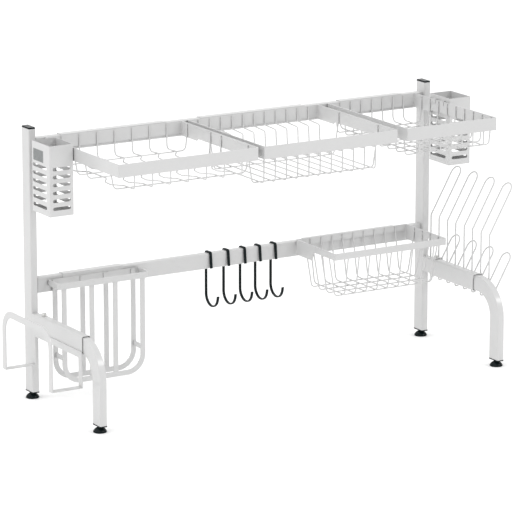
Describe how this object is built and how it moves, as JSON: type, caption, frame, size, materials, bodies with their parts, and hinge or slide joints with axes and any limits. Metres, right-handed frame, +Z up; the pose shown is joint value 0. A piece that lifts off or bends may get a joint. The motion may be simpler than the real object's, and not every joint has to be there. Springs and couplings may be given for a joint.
{
  "type": "dish drying rack",
  "caption": "Freestanding over-sink drying rack: two posts, two rails, bent adjustable legs, hanging wire baskets, utensil boxes, hooks and holders.",
  "frame": {"origin": "on the worktop, at the centre of the model's footprint", "axes": "+X along the rails to the right seen from the front, +Y to the rear, +Z up; the front legs stand towards -Y"},
  "size_m": [1.0125, 0.3073, 0.52],
  "materials": {
    "white_coat": "fine satin powder coat",
    "black_plastic": "moulded, matt",
    "black_coat": "satin coat on bent wire",
    "zinc": "bright zinc plate"
  },
  "bodies": {
    "frame": {"left_post": "white_coat", "right_post": "white_coat", "post_caps": "black_plastic", "post_plugs": "black_plastic", "upper_rail": "white_coat", "lower_rail": "white_coat", "rail_stubs": "white_coat", "rail_screws": "zinc", "left_arm_stub": "white_coat", "right_arm_stub": "white_coat"},
    "left_leg_body": {"left_sleeve": "white_coat", "left_sleeve_bushes": "black_plastic", "left_leg": "white_coat", "left_leg_plug": "black_plastic", "tray_holder_outer": "white_coat", "tray_holder_inner": "white_coat", "tray_holder_straps": "white_coat", "tray_holder_screws": "zinc"},
    "right_leg_body": {"right_sleeve": "white_coat", "right_sleeve_bushes": "black_plastic", "right_leg": "white_coat", "right_leg_plug": "black_plastic"},
    "left_lock_knob_body": {"left_lock_knob": "zinc"},
    "right_lock_knob_body": {"right_lock_knob": "zinc"},
    "left_rear_foot_body": {"left_rear_foot": "black_plastic"},
    "right_rear_foot_body": {"right_rear_foot": "black_plastic"},
    "left_front_foot_body": {"left_front_foot": "black_plastic"},
    "right_front_foot_body": {"right_front_foot": "black_plastic"},
    "left_basket_body": {"left_basket_frame": "white_coat", "left_basket_saddle": "white_coat", "left_basket_cross_wires": "white_coat", "left_basket_long_wires": "white_coat"},
    "middle_basket_body": {"middle_basket_frame": "white_coat", "middle_basket_saddle": "white_coat", "middle_basket_cross_wires": "white_coat", "middle_basket_long_wires": "white_coat"},
    "right_basket_body": {"right_basket_frame": "white_coat", "right_basket_saddle": "white_coat", "right_basket_cross_wires": "white_coat", "right_basket_long_wires": "white_coat"},
    "lower_basket_body": {"lower_basket_frame": "white_coat", "lower_basket_saddle": "white_coat", "lower_basket_cross_wires": "white_coat", "lower_basket_long_wires": "white_coat"},
    "left_utensil_box_body": {"left_utensil_box": "white_coat"},
    "right_utensil_box_body": {"right_utensil_box": "white_coat"},
    "board_holder_body": {"board_holder_ring": "white_coat", "board_holder_rear_u": "white_coat", "board_holder_front_u": "white_coat", "board_holder_bars": "white_coat", "board_holder_ties": "white_coat", "board_holder_saddle": "white_coat"},
    "plate_rack_body": {"plate_rack_rings": "white_coat", "plate_rack_carrier": "white_coat", "plate_rack_hooks": "white_coat"},
    "hook_1_body": {"hook_1": "black_coat"},
    "hook_2_body": {"hook_2": "black_coat"},
    "hook_3_body": {"hook_3": "black_coat"},
    "hook_4_body": {"hook_4": "black_coat"},
    "hook_5_body": {"hook_5": "black_coat"}
  },
  "joints": [
    {"name": "left_leg_reach", "type": "slide", "parent": "frame", "child": "left_leg_body", "axis": [0, -1, 0], "range_m": [-0.012, 0.05]},
    {"name": "left_lock_screw", "type": "slide", "parent": "left_leg_body", "child": "left_lock_knob_body", "axis": [0, 0, 1], "range_m": [0, 0.005]},
    {"name": "left_rear_foot_level", "type": "slide", "parent": "frame", "child": "left_rear_foot_body", "axis": [0, 0, -1], "range_m": [0, 0.008]},
    {"name": "left_front_foot_level", "type": "slide", "parent": "left_leg_body", "child": "left_front_foot_body", "axis": [0, 0, -1], "range_m": [0, 0.008]},
    {"name": "right_leg_reach", "type": "slide", "parent": "frame", "child": "right_leg_body", "axis": [0, -1, 0], "range_m": [-0.012, 0.05]},
    {"name": "right_lock_screw", "type": "slide", "parent": "right_leg_body", "child": "right_lock_knob_body", "axis": [0, 0, 1], "range_m": [0, 0.005]},
    {"name": "right_rear_foot_level", "type": "slide", "parent": "frame", "child": "right_rear_foot_body", "axis": [0, 0, -1], "range_m": [0, 0.008]},
    {"name": "right_front_foot_level", "type": "slide", "parent": "right_leg_body", "child": "right_front_foot_body", "axis": [0, 0, -1], "range_m": [0, 0.008]},
    {"name": "left_basket_lift", "type": "slide", "parent": "frame", "child": "left_basket_body", "axis": [0, 0, 1], "range_m": [0, 0.15]},
    {"name": "middle_basket_lift", "type": "slide", "parent": "frame", "child": "middle_basket_body", "axis": [0, 0, 1], "range_m": [0, 0.15]},
    {"name": "right_basket_lift", "type": "slide", "parent": "frame", "child": "right_basket_body", "axis": [0, 0, 1], "range_m": [0, 0.15]},
    {"name": "lower_basket_lift", "type": "slide", "parent": "frame", "child": "lower_basket_body", "axis": [0, 0, 1], "range_m": [0, 0.17]},
    {"name": "left_utensil_box_lift", "type": "slide", "parent": "left_basket_body", "child": "left_utensil_box_body", "axis": [0, 0, 1], "range_m": [0, 0.15]},
    {"name": "right_utensil_box_lift", "type": "slide", "parent": "right_basket_body", "child": "right_utensil_box_body", "axis": [0, 0, 1], "range_m": [0, 0.15]},
    {"name": "board_holder_lift", "type": "slide", "parent": "frame", "child": "board_holder_body", "axis": [0, 0, 1], "range_m": [0, 0.19]},
    {"name": "plate_rack_lift", "type": "slide", "parent": "right_leg_body", "child": "plate_rack_body", "axis": [0, 0, 1], "range_m": [0, 0.09]},
    {"name": "hook_1_slide", "type": "slide", "parent": "frame", "child": "hook_1_body", "axis": [1, 0, 0], "range_m": [-0.012, 0.012]},
    {"name": "hook_2_slide", "type": "slide", "parent": "frame", "child": "hook_2_body", "axis": [1, 0, 0], "range_m": [-0.012, 0.012]},
    {"name": "hook_3_slide", "type": "slide", "parent": "frame", "child": "hook_3_body", "axis": [1, 0, 0], "range_m": [-0.012, 0.012]},
    {"name": "hook_4_slide", "type": "slide", "parent": "frame", "child": "hook_4_body", "axis": [1, 0, 0], "range_m": [-0.012, 0.012]},
    {"name": "hook_5_slide", "type": "slide", "parent": "frame", "child": "hook_5_body", "axis": [1, 0, 0], "range_m": [-0.012, 0.012]}
  ]
}
